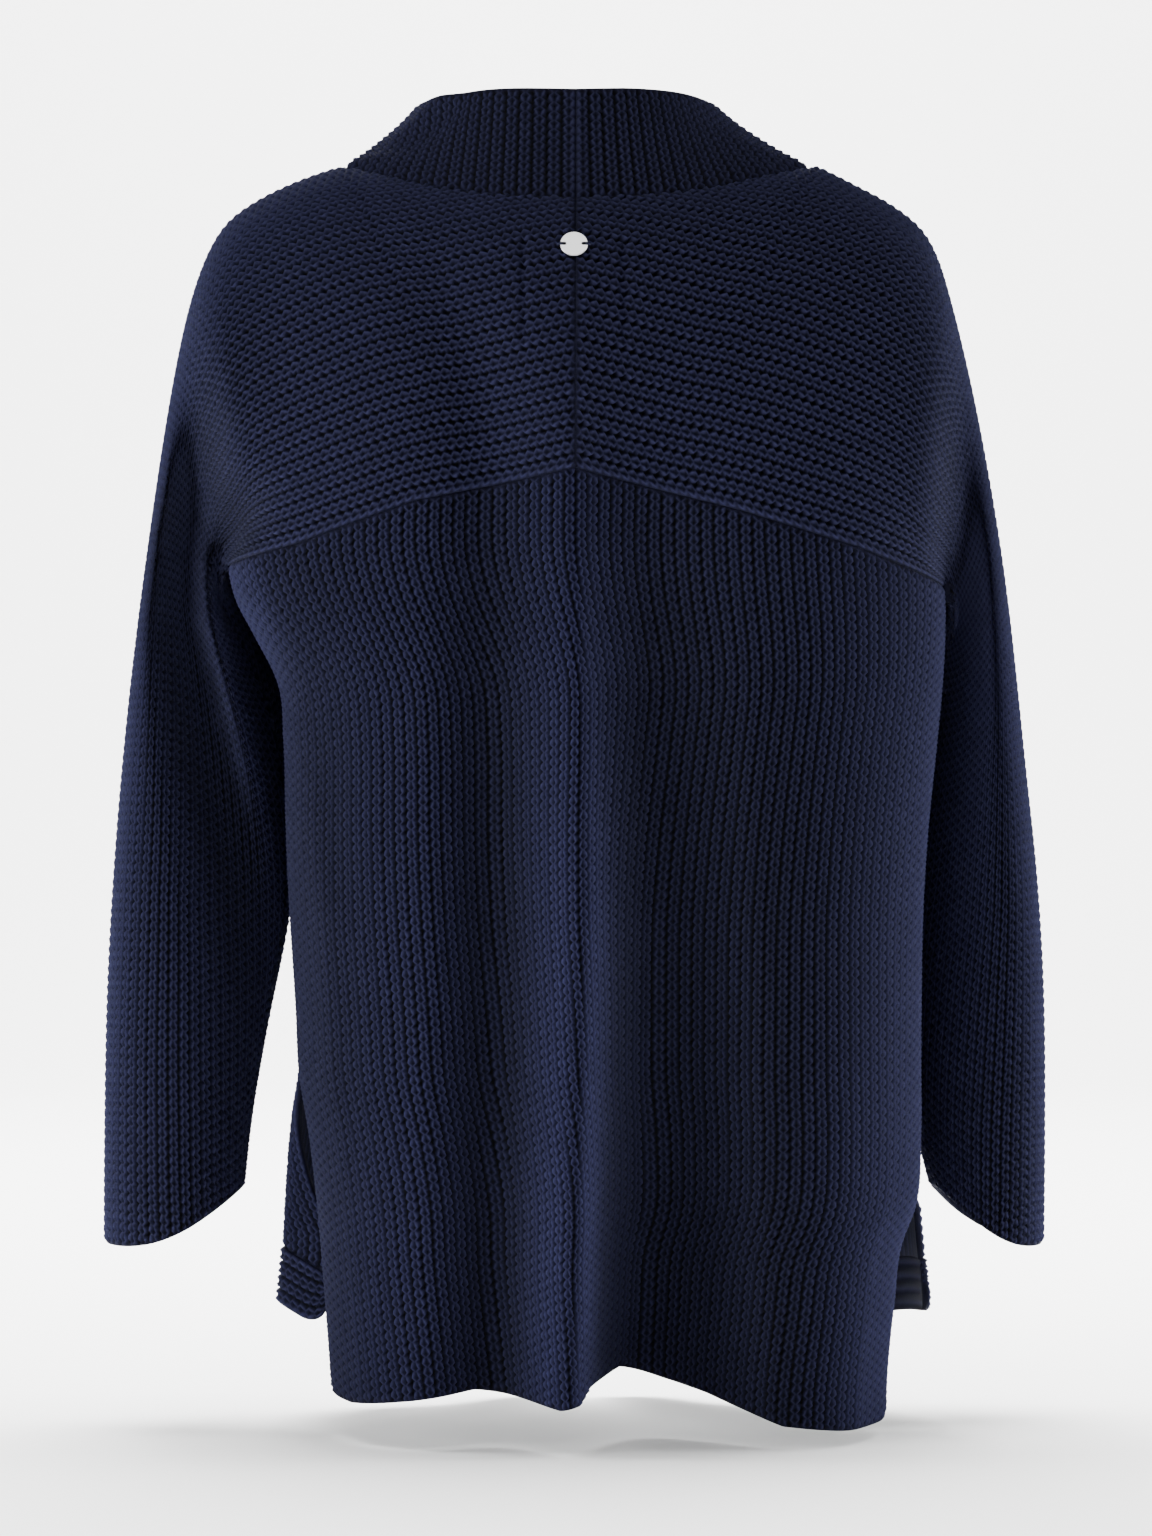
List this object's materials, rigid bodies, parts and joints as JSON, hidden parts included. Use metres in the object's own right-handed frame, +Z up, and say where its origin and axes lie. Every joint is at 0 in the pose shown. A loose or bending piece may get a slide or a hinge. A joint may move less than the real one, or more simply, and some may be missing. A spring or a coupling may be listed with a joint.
{
  "type": "cardigan",
  "caption": "Chunky rib-knit cardigan with yoke sleeves, stand collar, open front and side vents, in its worn shape with no wearer.",
  "frame": {"origin": "base of the neck, midway between the two high shoulder points", "axes": "+Z up, -Y the way the wearer faces, +X the wearer's left; the picture is taken from +Y"},
  "size_m": [0.57, 0.2767, 0.7891],
  "materials": {
    "back_body": "matt chunky knitted cotton",
    "yoke_sleeve_left": "matt chunky knitted cotton",
    "yoke_sleeve_right": "matt chunky knitted cotton",
    "collar_left": "matt chunky knitted cotton",
    "collar_right": "matt chunky knitted cotton",
    "front_left": "matt chunky knitted cotton",
    "front_right": "matt chunky knitted cotton",
    "front_hem_band_left": "matt chunky knitted cotton",
    "front_hem_band_right": "matt chunky knitted cotton",
    "neck_disc": "matt silver",
    "disc_thread_left": "dark sewing thread",
    "disc_thread_right": "dark sewing thread"
  },
  "bodies": {
    "root": {"back_body": "back_body", "yoke_sleeve_left": "yoke_sleeve_left", "yoke_sleeve_right": "yoke_sleeve_right", "collar_left": "collar_left", "collar_right": "collar_right", "front_left": "front_left", "front_right": "front_right", "front_hem_band_left": "front_hem_band_left", "front_hem_band_right": "front_hem_band_right", "neck_disc": "neck_disc", "disc_thread_left": "disc_thread_left", "disc_thread_right": "disc_thread_right"}
  },
  "joints": []
}
